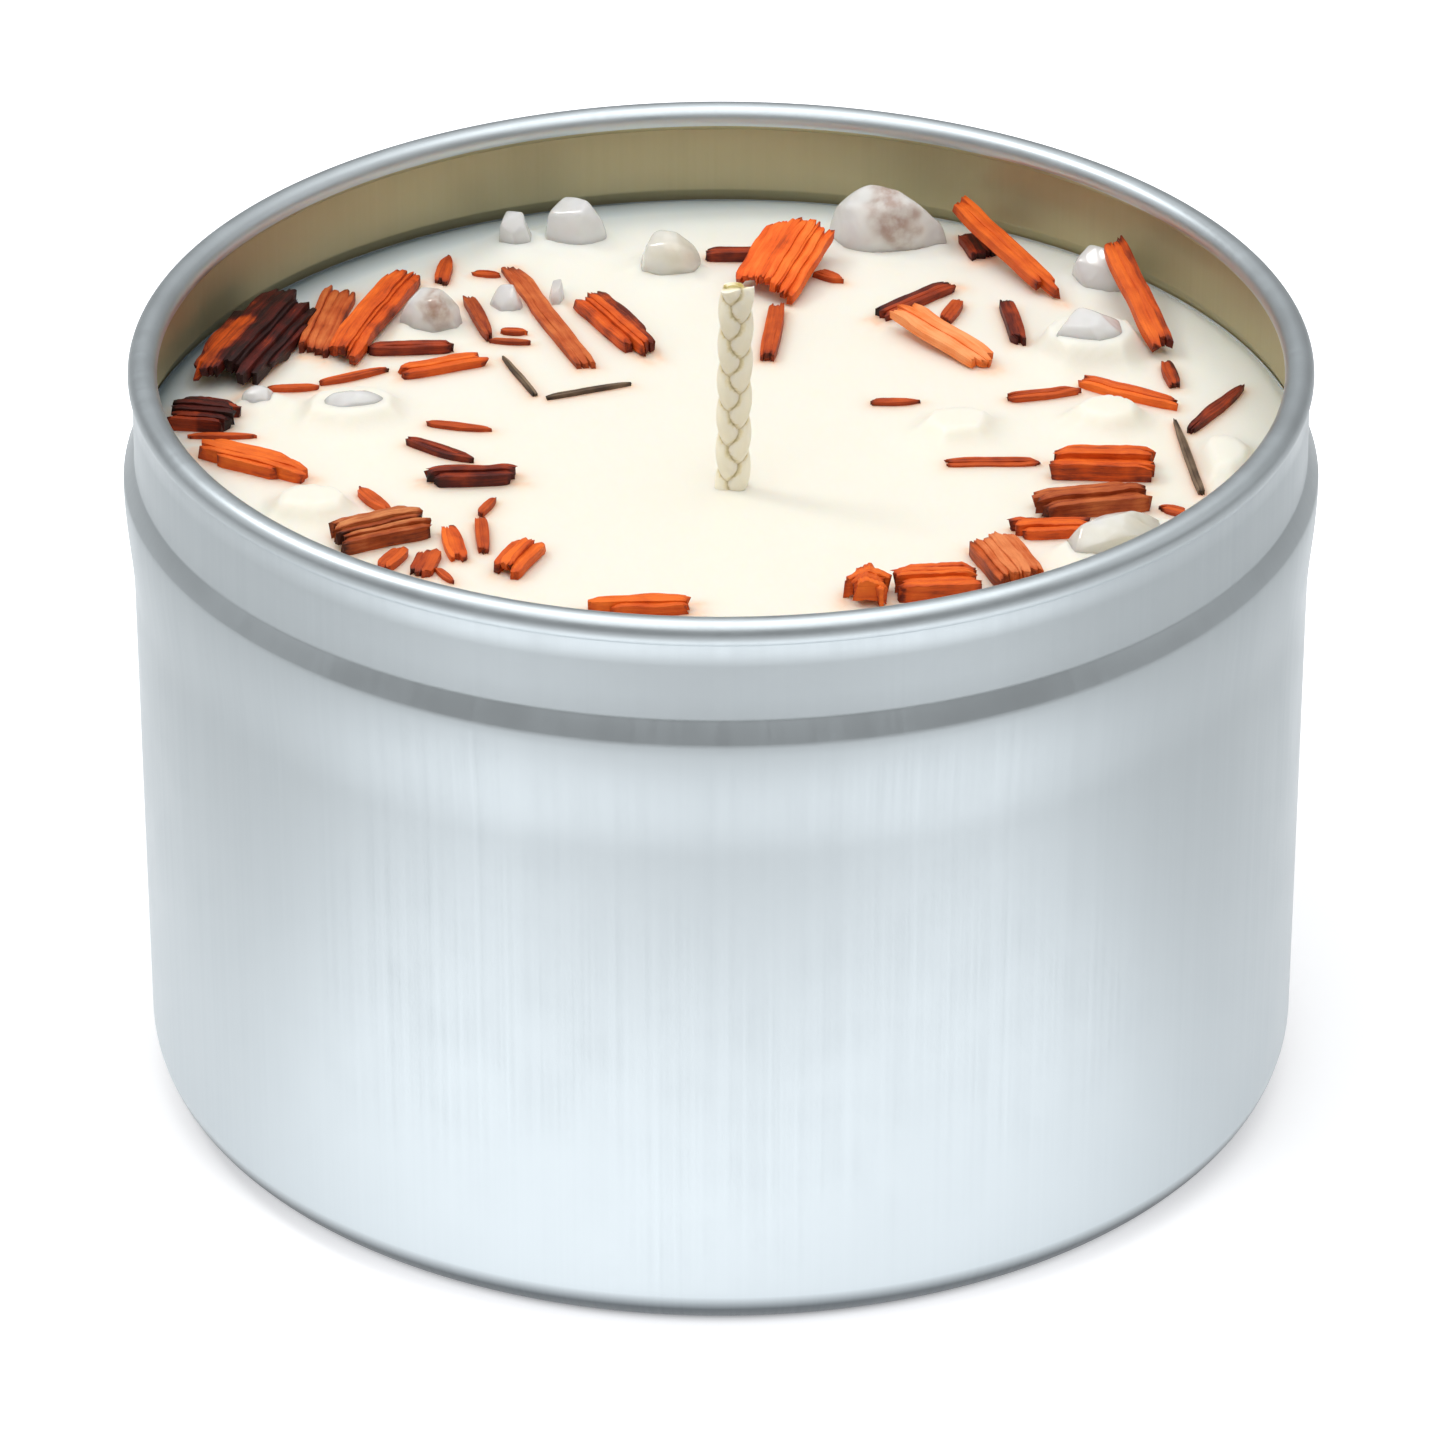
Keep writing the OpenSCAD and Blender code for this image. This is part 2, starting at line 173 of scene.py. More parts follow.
def new_object(name, mesh, materials):
    """An object at the origin with that mesh and those materials."""
    obj = bpy.data.objects.new(name, mesh)
    bpy.context.scene.collection.objects.link(obj)
    for mat in materials:
        mesh.materials.append(mat)
    return obj


def to_mesh(bm, name):
    """A new mesh from a bmesh, which is freed."""
    mesh = bpy.data.meshes.new(name)
    bm.to_mesh(mesh)
    bm.free()
    return mesh


def finish_piece(obj, slot, *nodes, angle=50):
    """Smooth shading with kept edges, then the calls that tie the piece to the frame."""
    mesh = obj.data
    mesh.polygons.foreach_set("use_smooth", [True] * len(mesh.polygons))
    mesh.set_sharp_from_angle(angle=math.radians(angle))
    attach(obj, "root")
    if nodes:
        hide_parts(*nodes)


def solids(node):
    """The merged solids of a CAD node, one bmesh for each loose part."""
    whole = bmesh.new()
    whole.from_mesh(frame["nodes"][node].data)
    bmesh.ops.remove_doubles(whole, verts=whole.verts, dist=1e-6)
    left = set(whole.verts)
    found = []
    while left:
        stack = [next(iter(left))]
        island = set(stack)
        while stack:
            for edge in stack.pop().link_edges:
                for vert in edge.verts:
                    if vert not in island:
                        island.add(vert)
                        stack.append(vert)
        left -= island
        part = bmesh.new()
        order = sorted(island, key=lambda v: v.index)
        twin = {v: part.verts.new(v.co) for v in order}
        for face in whole.faces:
            if face.verts[0] in island:
                part.faces.new([twin[v] for v in face.verts])
        part.normal_update()
        found.append((order[0].index, part))
    whole.free()
    return [part for _, part in sorted(found, key=lambda pair: pair[0])]


def lathe(profile, segments):
    """A closed bmesh turned from (radius, height) points in mm, first and last on the axis."""
    bm = bmesh.new()
    turns = [math.tau * k / segments for k in range(segments)]
    rings = []
    for r, z in profile:
        spots = [(r * MM * math.cos(a), r * MM * math.sin(a), z * MM) for a in turns]
        rings.append([bm.verts.new(spot) for spot in (spots if r > 1e-6 else [(0, 0, z * MM)])])
    for low, high in zip(rings, rings[1:]):
        for k in range(segments):
            j = (k + 1) % segments
            ring = [low[k % len(low)], low[j % len(low)], high[j % len(high)], high[k % len(high)]]
            bm.faces.new(list(dict.fromkeys(ring)))
    bmesh.ops.recalc_face_normals(bm, faces=bm.faces)
    return bm


# ---------------------------------------------------------------- sizes and colours

def measure(name, description, default, unit="LENGTH"):
    """A setting that holds a length, an angle or a power."""
    kind = {"LENGTH": "DISTANCE", "ROTATION": "ANGLE", "POWER": "POWER"}[unit]
    return bpy.props.FloatProperty(name=name, description=description, default=default,
                                   subtype=kind, unit=unit)


def paint(name, description, default):
    """A setting that holds a colour."""
    return bpy.props.StringProperty(name=name, description=description + ", sRGB hex",
                                    default=default)


class TinSettings(bpy.types.PropertyGroup):
    """Sizes of the tin and colours of its tinplate."""

    rim_radius: measure("Rim radius", "Outer radius of the curled rim", 0.0382)
    curl_radius: measure("Curl radius", "Radius of the rolled edge", 0.00095)
    height: measure("Height", "Height to the top of the rim", 0.0515)
    sheet: measure("Sheet", "Thickness of the tinplate", 0.00028)
    outside: paint("Outside", "Colour of the bare tinplate", "#C6CED2")
    inside: paint("Inside", "Colour of the lacquered inside", "#C0B692")


class WaxSettings(bpy.types.PropertyGroup):
    """Level, unevenness and colours of the poured wax."""

    level: measure("Level", "Height of the wax surface", 0.044)
    unevenness: measure("Unevenness", "Height of the slow waves in the surface", 0.00008)
    collar: measure("Collar", "How high the wax climbs against a pebble", 0.0005)
    colour: paint("Colour", "Colour of the wax", "#EEE9D9")
    stain: paint("Stain", "Colour that the dyed wood bleeds into the wax", "#F6A868")


class WickSettings(bpy.types.PropertyGroup):
    """Sizes of the flat braid."""

    period: measure("Period", "Length in which one strand crosses and comes back", 0.0075)
    width: measure("Width", "Width of the flat braid", 0.0023)
    thickness: measure("Thickness", "Thickness of the flat braid", 0.0014)
    strand: measure("Strand", "Radius of one strand", 0.00066)
    lean: measure("Lean", "Lean of the wick to the right", math.radians(1), "ROTATION")


class ToppingSettings(bpy.types.PropertyGroup):
    """How the pebbles and the wood chips are worked up."""

    fibre: measure("Fibre", "Width of the fibre bundles a chip splits into", 0.00048)
    splinter: measure("Splinter", "Length of the splinters at a chip's ends", 0.0005)
    pebble_dent: measure("Pebble dent", "Depth of the hollows in a pebble", 0.00007)


class StageSettings(bpy.types.PropertyGroup):
    """Floor, lights and camera."""

    floor_size: measure("Floor", "Side of the floor", 3.0)
    sky: bpy.props.FloatProperty(
        name="Sky", description="Strength of the even white light from all round", default=0.33,
        min=0, max=3)
    top_light: measure("Top light", "Power of the overhead softbox", 1.8, "POWER")
    front_light: measure("Front light", "Power of the softbox low over the front of the floor",
                         0.95, "POWER")
    side_light: measure("Side light", "Power of each softbox at the sides", 0.6, "POWER")
    key_light: measure("Key light", "Power of the small softbox at the back left", 0.6, "POWER")
    lens: bpy.props.FloatProperty(
        name="Lens", description="Focal length on a 36 mm sensor, in millimetres", default=217.97)


# ---------------------------------------------------------------- materials

def tinplate(name, colour, roughness, metallic=1.0, foot=0.0):
    """Tinplate, drawn into a cup: a bright satin metal, crossed by faint upright draw marks.

    Foot is how strongly a painted shade line darkens the edge it stands on, from 0 to 1."""
    mat, tree = new_material(name)
    where = add(tree, "ShaderNodeTexCoord").outputs["Object"]
    axes = add(tree, "ShaderNodeSeparateXYZ", {0: where})
    turn = add(tree, "ShaderNodeMath",
               {0: axes.outputs["Y"], 1: axes.outputs["X"]}, operation="ARCTAN2")
    # Draw marks are about 0.4 mm apart on the 38 mm wall, and run over most of its height.
    spot = add(tree, "ShaderNodeCombineXYZ", {"X": turn, "Y": axes.outputs["Z"]})
    marks = add(tree, "ShaderNodeMapping", {"Vector": spot, "Scale": (95, 14, 1)})
    lines = add(tree, "ShaderNodeTexNoise",
                {"Vector": marks, "Scale": 1.0, "Detail": 3.0, "Roughness": 0.6})
    # The tin coating's mottle is a few millimetres across.
    mottle = add(tree, "ShaderNodeTexNoise", {"Vector": where, "Scale": 260.0, "Detail": 4.0})
    both = add(tree, "ShaderNodeMath", {0: lines, 1: mottle}, operation="MULTIPLY")
    rough = add(tree, "ShaderNodeMapRange",
                {"Value": both, "From Min": 0.1, "From Max": 0.45, "To Min": roughness - 0.05,
                 "To Max": roughness + 0.07})
    deeper = tuple(0.93 * c for c in linear(colour)[:3]) + (1.0,)
    tone = add(tree, "ShaderNodeMix",
               {"Factor": mottle, "A": deeper, "B": linear(colour)}, data_type="RGBA")
    bump = add(tree, "ShaderNodeBump", {"Height": lines, "Strength": 0.03, "Distance": 0.00003})
    # Painted shade: the standing edge is darkened to a dark line about 3 mm high, in place of the
    # dark reflection at the foot.
    low = add(tree, "ShaderNodeMapRange",
              {"Value": axes.outputs["Z"], "From Min": 0.0019, "From Max": 0.0031, "To Min": foot,
               "To Max": 0.0})
    foot_shade = add(tree, "ShaderNodeMix",
                 {"Factor": low, "A": tone, "B": linear("#454C50")}, data_type="RGBA")
    metal = add(tree, "ShaderNodeBsdfPrincipled",
                {"Base Color": foot_shade, "Roughness": rough, "Normal": bump, "Metallic": metallic})
    add(tree, "ShaderNodeOutputMaterial", {"Surface": metal})
    return mat


def soy_wax(name, colour, stain):
    """Soy wax, poured: creamy and soft-edged, with light carried under its skin."""
    mat, tree = new_material(name)
    where = add(tree, "ShaderNodeTexCoord").outputs["Object"]
    near = add(tree, "ShaderNodeAttribute", attribute_name="wood_near")
    edge = add(tree, "ShaderNodeAttribute", attribute_name="edge")
    cloud = add(tree, "ShaderNodeTexNoise", {"Vector": where, "Scale": 90.0, "Detail": 3.0})
    body = add(tree, "ShaderNodeMix",
               {"Factor": cloud, "A": linear("#EDEADF"), "B": linear(colour)}, data_type="RGBA")
    # Painted shade: the wax turns a little cooler and greyer towards the tin's wall and the back.
    edge_shade = add(tree, "ShaderNodeMix",
               {"Factor": edge.outputs["Fac"], "A": body, "B": linear("#DCE6E8")},
               data_type="RGBA")
    # Painted shadow: past 0.8 the edge attribute darkens the wax to blue-grey, the wall's shadow at
    # the back left.
    over = add(tree, "ShaderNodeMath",
               {0: edge.outputs["Fac"], 1: 0.8}, operation="SUBTRACT", use_clamp=True)
    thin = add(tree, "ShaderNodeMix",
               {"Factor": over, "A": edge_shade, "B": linear("#75848C")}, data_type="RGBA")
    # Dye bleeds about a millimetre out of the chips.
    halo = add(tree, "ShaderNodeMix",
               {"Factor": near.outputs["Fac"], "A": thin, "B": linear(stain)}, data_type="RGBA")
    # Crystals of set wax are about 0.3 mm across.
    grain = add(tree, "ShaderNodeTexNoise", {"Vector": where, "Scale": 3000.0, "Detail": 2.0})
    bump = add(tree, "ShaderNodeBump", {"Height": grain, "Strength": 0.12, "Distance": 0.00006})
    shader = add(tree, "ShaderNodeBsdfPrincipled",
                 {"Base Color": halo, "Normal": bump, "Roughness": 0.42, "IOR": 1.44,
                  "Subsurface Weight": 0.7, "Subsurface Radius": (1.0, 0.8, 0.6),
                  "Subsurface Scale": 0.0016})
    add(tree, "ShaderNodeOutputMaterial", {"Surface": shader})
    return mat


def milky_quartz(name, body, cloudy, flaw, amount):
    """Quartz, tumbled: milky and glossy, clouded inside, with a few darker flaws."""
    mat, tree = new_material(name)
    where = add(tree, "ShaderNodeTexCoord").outputs["Object"]
    # Clouds are about three millimetres across, and the veins in a brown cloud about one.
    cloud = add(tree, "ShaderNodeTexNoise", {"Vector": where, "Scale": 330.0, "Detail": 2.0})
    flaws = add(tree, "ShaderNodeTexNoise", {"Vector": where, "Scale": 900.0, "Detail": 3.0})
    milk = add(tree, "ShaderNodeValToRGB",
               {"Fac": cloud},
               stops=[(0.35, cloudy), (0.6, body), (0.75, "#FFFFFA")]).outputs["Color"]
    # The inclusion attribute marks where a stone holds a brown cloud near its skin.
    held = add(tree, "ShaderNodeAttribute", attribute_name="inclusion")
    veins = add(tree, "ShaderNodeMapRange",
                {"Value": flaws, "From Min": 0.35, "From Max": 0.6, "To Min": 0.35 * amount,
                 "To Max": amount})
    spot = add(tree, "ShaderNodeMath", {0: held.outputs["Fac"], 1: veins}, operation="MULTIPLY")
    mixed = add(tree, "ShaderNodeMix",
                {"Factor": spot, "A": milk, "B": linear(flaw)}, data_type="RGBA")
    pits = add(tree, "ShaderNodeTexNoise", {"Vector": where, "Scale": 2200.0, "Detail": 3.0})
    bump = add(tree, "ShaderNodeBump", {"Height": pits, "Strength": 0.04, "Distance": 0.00008})
    shader = add(tree, "ShaderNodeBsdfPrincipled",
                 {"Base Color": mixed, "Normal": bump, "Roughness": 0.08, "IOR": 1.544,
                  "Transmission Weight": 0.3, "Subsurface Weight": 1.0,
                  "Subsurface Radius": (1.0, 1.0, 0.96), "Subsurface Scale": 0.0022})
    add(tree, "ShaderNodeOutputMaterial", {"Surface": shader})
    return mat


def dyed_wood(name, dark, body, bright):
    """Sandalwood, split and dyed: a fibrous face with dark grooves, partly painted shade, faintly
    oiled by the wax.
    """
    mat, tree = new_material(name)
    grain = add(tree, "ShaderNodeAttribute", attribute_name="grain").outputs["Vector"]
    tone = add(tree, "ShaderNodeAttribute", attribute_name="tone").outputs["Fac"]
    # The grain attribute is in millimetres: fibres run 3 mm or more and are about 0.2 mm wide.
    fibre = add(tree, "ShaderNodeMapping", {"Vector": grain, "Scale": (0.35, 4.5, 4.5)})
    streak = add(tree, "ShaderNodeTexNoise",
                 {"Vector": fibre, "Scale": 1.0, "Detail": 5.0, "Roughness": 0.65})
    patch = add(tree, "ShaderNodeTexNoise", {"Vector": grain, "Scale": 0.55, "Detail": 3.0})
    both = add(tree, "ShaderNodeMath", {0: streak, 1: patch}, operation="ADD")
    shade = add(tree, "ShaderNodeMath", {0: both, 1: tone}, operation="ADD")
    third = add(tree, "ShaderNodeMath", {0: shade, 1: 0.3333}, operation="MULTIPLY")
    colour = add(tree, "ShaderNodeValToRGB",
                 {"Fac": third}, stops=[(0.3, dark), (0.43, body), (0.6, bright)]).outputs["Color"]
    bump = add(tree, "ShaderNodeBump", {"Height": streak, "Strength": 0.7, "Distance": 0.00012})
    shader = add(tree, "ShaderNodeBsdfPrincipled",
                 {"Base Color": colour, "Normal": bump, "Roughness": 0.6, "IOR": 1.36,
                  "Coat Weight": 0.06, "Coat Roughness": 0.25})
    add(tree, "ShaderNodeOutputMaterial", {"Surface": shader})
    return mat


def cotton(name):
    """Cotton yarn, braided: matt and soft, with painted shade, darker and yellower, in the creases
    between its strands.
    """
    mat, tree = new_material(name)
    where = add(tree, "ShaderNodeTexCoord").outputs["Object"]
    crease_shade = add(tree, "ShaderNodeAttribute", attribute_name="crease_shade")
    # Plies of the yarn are about 0.2 mm wide.
    plies = add(tree, "ShaderNodeTexNoise", {"Vector": where, "Scale": 5000.0, "Detail": 3.0})
    depth = add(tree, "ShaderNodeMath", {0: plies, 1: 0.35}, operation="MULTIPLY")
    total = add(tree, "ShaderNodeMath", {0: crease_shade.outputs["Fac"], 1: depth}, operation="ADD")
    colour = add(tree, "ShaderNodeValToRGB",
                 {"Fac": total},
                 stops=[(0.25, "#FFF4DC"), (0.5, "#F8E8C0"), (1.1, "#BDA75C")]).outputs["Color"]
    bump = add(tree, "ShaderNodeBump", {"Height": plies, "Strength": 0.5, "Distance": 0.00006})
    shader = add(tree, "ShaderNodeBsdfPrincipled",
                 {"Base Color": colour, "Normal": bump, "Roughness": 0.85, "Sheen Weight": 0.4,
                  "Sheen Roughness": 0.5, "Subsurface Weight": 0.4,
                  "Subsurface Radius": (1.0, 0.9, 0.7), "Subsurface Scale": 0.0006})
    add(tree, "ShaderNodeOutputMaterial", {"Surface": shader})
    return mat


def painted_light_floor(name):
    """Matt white floor that glows with painted light: brightest before and behind the object."""
    mat, tree = new_material(name)
    where = add(tree, "ShaderNodeTexCoord").outputs["Object"]
    tooth = add(tree, "ShaderNodeTexNoise", {"Vector": where, "Scale": 900.0, "Detail": 2.0})
    bump = add(tree, "ShaderNodeBump", {"Height": tooth, "Strength": 0.03, "Distance": 0.0001})
    # The painted lit patch is full to 45 mm from the middle and gone at 100 mm. It fades in over 44
    # mm in front of the object, and goes on behind it.
    axes = add(tree, "ShaderNodeSeparateXYZ", {0: where})
    aside = add(tree, "ShaderNodeMath", {0: axes.outputs["X"]}, operation="ABSOLUTE")
    wide = add(tree, "ShaderNodeMapRange",
               {"Value": aside, "From Min": 0.045, "From Max": 0.1, "To Min": 0.94, "To Max": 0.0},
               interpolation_type="SMOOTHSTEP")
    deep = add(tree, "ShaderNodeMapRange",
               {"Value": axes.outputs["Y"], "From Min": -0.112, "From Max": -0.068},
               interpolation_type="SMOOTHSTEP")
    # It is dimmer level with the object, so that the sides of the tin mirror less of it.
    level = add(tree, "ShaderNodeMath", {0: axes.outputs["Y"], 1: 0.01}, operation="SUBTRACT")
    along = add(tree, "ShaderNodeMath", {0: level}, operation="ABSOLUTE")
    dim = add(tree, "ShaderNodeMapRange",
              {"Value": along, "From Min": 0.022, "From Max": 0.055, "To Min": 0.5, "To Max": 1.0},
              interpolation_type="SMOOTHSTEP")
    front = add(tree, "ShaderNodeMath", {0: deep, 1: dim}, operation="MULTIPLY")
    glow = add(tree, "ShaderNodeMath", {0: wide, 1: front}, operation="MULTIPLY")
    # Painted shade: no light comes up from under the object itself, whose foot is 0.034 m in
    # radius.
    middle = add(tree, "ShaderNodeVectorMath", {0: where}, operation="LENGTH")
    beside = add(tree, "ShaderNodeMapRange",
                 {"Value": middle, "From Min": 0.0345, "From Max": 0.0362},
                 interpolation_type="SMOOTHSTEP")
    lit = add(tree, "ShaderNodeMath", {0: glow, 1: beside}, operation="MULTIPLY")
    shader = add(tree, "ShaderNodeBsdfPrincipled",
                 {"Normal": bump, "Emission Strength": lit, "Base Color": linear("#DEDEDE"),
                  "Roughness": 0.8, "Emission Color": linear("#FBFCFF")})
    add(tree, "ShaderNodeOutputMaterial", {"Surface": shader})
    return mat


# ---------------------------------------------------------------- pieces

def wall_points(inset, steps):
    """The tin's wall from its base corner to its neck, moved inwards by inset, in mm."""
    points = []
    for k in range(steps + 1):
        a = math.radians(90 * k / steps)
        points.append((FOOT - CORNER + (CORNER - inset) * math.sin(a),
                       CORNER - (CORNER - inset) * math.cos(a)))
    for k in range(steps + 1):
        s = k / steps
        points.append((WALL - inset + 0.5 * (1 - math.cos(math.pi * s)) / 2, 35.2 + 8.0 * s))
    points += [(38.7 - inset - 0.02, 43.38), (38.64 - inset, 43.55), (38.0 - inset, 44.68),
               (37.96 - inset, 44.76), (NECK - inset, 44.9)]
    return points


def arc(x, z, radius, start, end, steps):
    """Points round a circle from one angle to another, in degrees."""
    turns = [math.radians(start + (end - start) * k / steps) for k in range(steps + 1)]
    return [(x + radius * math.cos(a), z + radius * math.sin(a)) for a in turns]


class CANDLE_OT_tin(bpy.types.Operator):
    """Turn the drawn tin: raised base, rounded corner, bead, lid neck and rolled rim"""

    bl_idname = "candle.tin"
    bl_label = "Tin"

    def execute(self, context):
        s = context.scene.candle_tin
        sheet = s.sheet / MM
        curl = s.curl_radius / MM
        cx, cz = s.rim_radius / MM - curl, s.height / MM - curl
        outer_start = math.degrees(math.atan2(-math.sqrt(curl ** 2 - (NECK - cx) ** 2), NECK - cx))
        inner_end = math.degrees(math.atan2(
            -math.sqrt((curl - sheet) ** 2 - (NECK - sheet - cx) ** 2), NECK - sheet - cx))
        # The rolled edge ends at this angle round the curl, in degrees.
        lip = 258.0
        outer = [(0, 0.6), (16, 0.6), (31.4, 0.6), (31.7, 0.58), (32.4, 0.04), (32.6, 0)]
        outer += wall_points(0, 14)
        outer += [(NECK, 46.5), (NECK, 48.5)]
        outer += arc(cx, cz, curl, outer_start, lip, 34)
        inner = arc(cx, cz, curl - sheet, lip, inner_end, 26)
        inner += [(NECK - sheet, 48.5), (NECK - sheet, 46.5)]
        inner += wall_points(sheet, 14)[::-1]
        inner += [(32.4, sheet), (31.6, 0.6 + sheet), (16, 0.6 + sheet), (0, 0.6 + sheet)]
        bm = lathe(outer + inner, 256)
        mesh = to_mesh(bm, "tin_drawn")
        # Faces whose centre lies on the lacquered side take the second material.
        for face in mesh.polygons:
            c = face.center
            r = math.hypot(c.x, c.y) / MM
            z = c.z / MM
            out_facing = face.normal.x * c.x + face.normal.y * c.y
            wall = 0.9 < z < cz - 0.35 and out_facing < 0
            base = z < 0.95 and face.normal.z > 0.5 and r < 36
            face.material_index = int(wall or base)
        # foot=0.9 paints the dark shade line along the foot of the outer wall.
        obj = new_object("tin_drawn", mesh, [tinplate("tinplate_satin", s.outside, 0.42, foot=0.9),
                                             tinplate("tinplate_lacquered", s.inside, 0.55, 0.8)])
        finish_piece(obj, "tinplate", "tin", angle=40)
        return {"FINISHED"}


class CANDLE_OT_wax(bpy.types.Operator):
    """Pour the wax: uneven top that climbs the pebbles and is stained beside the chips"""

    bl_idname = "candle.wax"
    bl_label = "Wax"

    def execute(self, context):
        s = context.scene.candle_wax
        stones = [(name, BVHTree.FromBMesh(part)) for name in PEBBLES for part in solids(name)]
        woods = [BVHTree.FromBMesh(part) for name in CHIPS for part in solids(name)]
        level = s.level
        foot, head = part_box("wick")
        wick = Vector(((foot.x + head.x) / 2, (foot.y + head.y) / 2, level))
        top = 38.03
        radii = [top * (k / 150) for k in range(151)]
        under = [p for p in wall_points(0.33, 10) if p[1] < 43.7][::-1]
        profile = [(r, level / MM) for r in radii] + [(38.05, 43.85)]
        profile += under + [(31.6, 0.93), (0, 0.93)]
        bm = lathe(profile, 384)
        stain = bm.verts.layers.float.new("wood_near")
        edge = bm.verts.layers.float.new("edge")
        for vert in bm.verts:
            flat = Vector((vert.co.x, vert.co.y, level))
            r = math.hypot(vert.co.x, vert.co.y) / MM
            # Painted shade, held in the edge attribute: it grows towards the back and by the wall,
            # and most at the back left where the wall shades the wax.
            back = max(0.0, vert.co.y / MM + 6) / 44
            shaded = max(0.0, 0.5 * vert.co.y - 0.87 * vert.co.x) / (38 * MM)
            vert[edge] = (0.45 * max(0.0, (r - 27) / 11) ** 1.5 + 0.15 * back ** 1.4
                          + 1.5 * shaded * max(0.0, (r - 31.0) / 7.0) ** 2)
            if abs(vert.co.z - level) > 1e-7:
                continue
            # Slow waves are 11 mm across and finer ones 2.4 mm.
            rise = s.unevenness * noise.noise(flat * 90)
            rise += s.unevenness * 0.4 * noise.noise(flat * 420)
            mound = 0.0
            for name, tree in stones:
                spot, _, _, gap = tree.find_nearest(flat, 0.005)
                if spot is None:
                    continue
                # A point under the stone's skin meets that skin from inside on its way up.
                roof, facing = tree.ray_cast(flat, Vector((0, 0, 1)))[:2]
                gap = 0 if roof is not None and facing.z > 0 else gap / MM
                climb = s.collar + WAXED_OVER.get(name, 0) * MM
                mound += climb * math.exp(-(gap / 0.85) ** 1.3)
            closest = 9.0
            for tree in woods:
                spot, _, _, gap = tree.find_nearest(flat, 0.004)
                if spot is not None:
                    closest = min(closest, gap / MM)
            vert[stain] = 0.5 * math.exp(-closest / 0.38)
            # The chips lie on the wax, so a mound at a stone stops short of them.
            rise += mound * (1 - 0.92 * math.exp(-(closest / 0.8) ** 2))
            rise += 0.00012 * math.exp(-(closest / 0.5) ** 2)
            rise -= 0.0003 * max(0.0, (r - 37.0) / 1.05) ** 2
            rise += 0.00025 * math.exp(-((flat - wick).length / MM / 1.9) ** 2)
            vert.co.z += rise
        obj = new_object("wax_poured", to_mesh(bm, "wax_poured"),
                         [soy_wax("soy_wax", s.colour, s.stain)])
        finish_piece(obj, "wax", "wax")
        return {"FINISHED"}


def geometry_tree(name, **sizes):
    """A geometry node tree that makes a mesh from named sizes and a material, and its inputs."""
    tree = bpy.data.node_groups.new(name, "GeometryNodeTree")
    face = tree.interface
    face.new_socket("Geometry", in_out="OUTPUT", socket_type="NodeSocketGeometry")
    for size, value in sizes.items():
        face.new_socket(size, in_out="INPUT", socket_type="NodeSocketFloat").default_value = value
    face.new_socket("Material", in_out="INPUT", socket_type="NodeSocketMaterial")
    return tree, add(tree, "NodeGroupInput").outputs


def close_tree(tree, geometry, material):
    """The tree, with the geometry realized, given its material and sent out."""
    real = add(tree, "GeometryNodeRealizeInstances", {"Geometry": geometry})
    done = add(tree, "GeometryNodeSetMaterial", {"Geometry": real, "Material": material})
    add(tree, "NodeGroupOutput", {0: done})
    return tree


def braid_tree():
    """Geometry nodes for a flat braid of three strands along +Z, with named sizes."""
    tree, inp = geometry_tree("flat_braid", Period=0.0075, Width=0.0023, Dip=0.0004,
                              Strand=0.00064, Foot=WICK_FOOT, Top=0.0582, Lean=0.0)
    half = add(tree, "ShaderNodeMath", {0: inp["Width"], 1: 0.5}, operation="MULTIPLY")
    half_w = add(tree, "ShaderNodeMath", {0: half, 1: inp["Strand"]}, operation="SUBTRACT")
    position = add(tree, "GeometryNodeInputPosition")
    height = add(tree, "ShaderNodeSeparateXYZ", {0: position}).outputs["Z"]
    start = add(tree, "ShaderNodeCombineXYZ", {"Z": inp["Foot"]})
    end = add(tree, "ShaderNodeCombineXYZ", {"Z": inp["Top"]})
    turns = add(tree, "ShaderNodeMath", {0: height, 1: inp["Period"]}, operation="DIVIDE")
    slope = add(tree, "ShaderNodeMath", {0: inp["Lean"]}, operation="TANGENT")
    aside = add(tree, "ShaderNodeMath", {0: slope, 1: height}, operation="MULTIPLY")
    join = add(tree, "GeometryNodeJoinGeometry")
    for k in range(3):
        line = add(tree, "GeometryNodeCurvePrimitiveLine", {"Start": start, "End": end})
        fine = add(tree, "GeometryNodeResampleCurve", {"Curve": line, "Count": 150})
        # Each strand swings from edge to edge once a period, and dips under at twice the rate.
        turn = add(tree, "ShaderNodeMath",
                   {0: turns, 1: -math.tau, 2: math.tau * k / 3}, operation="MULTIPLY_ADD")
        wave = add(tree, "ShaderNodeMath", {0: turn}, operation="SINE")
        x = add(tree, "ShaderNodeMath", {0: wave, 1: half_w, 2: aside}, operation="MULTIPLY_ADD")
        twice = add(tree, "ShaderNodeMath", {0: turn, 1: 2.0}, operation="MULTIPLY")
        dip = add(tree, "ShaderNodeMath", {0: twice}, operation="SINE")
        y = add(tree, "ShaderNodeMath", {0: dip, 1: inp["Dip"]}, operation="MULTIPLY")
        place = add(tree, "ShaderNodeCombineXYZ", {"X": x, "Y": y, "Z": height})
        laid = add(tree, "GeometryNodeSetPosition", {"Geometry": fine, "Position": place})
        disc = add(tree, "GeometryNodeCurvePrimitiveCircle",
                   {"Radius": inp["Strand"], "Resolution": 16})
        tube = add(tree, "GeometryNodeCurveToMesh",
                   {"Curve": laid, "Profile Curve": disc, "Fill Caps": True})
        tree.links.new(tube.outputs[0], join.inputs[0])
    return close_tree(tree, join, inp["Material"])


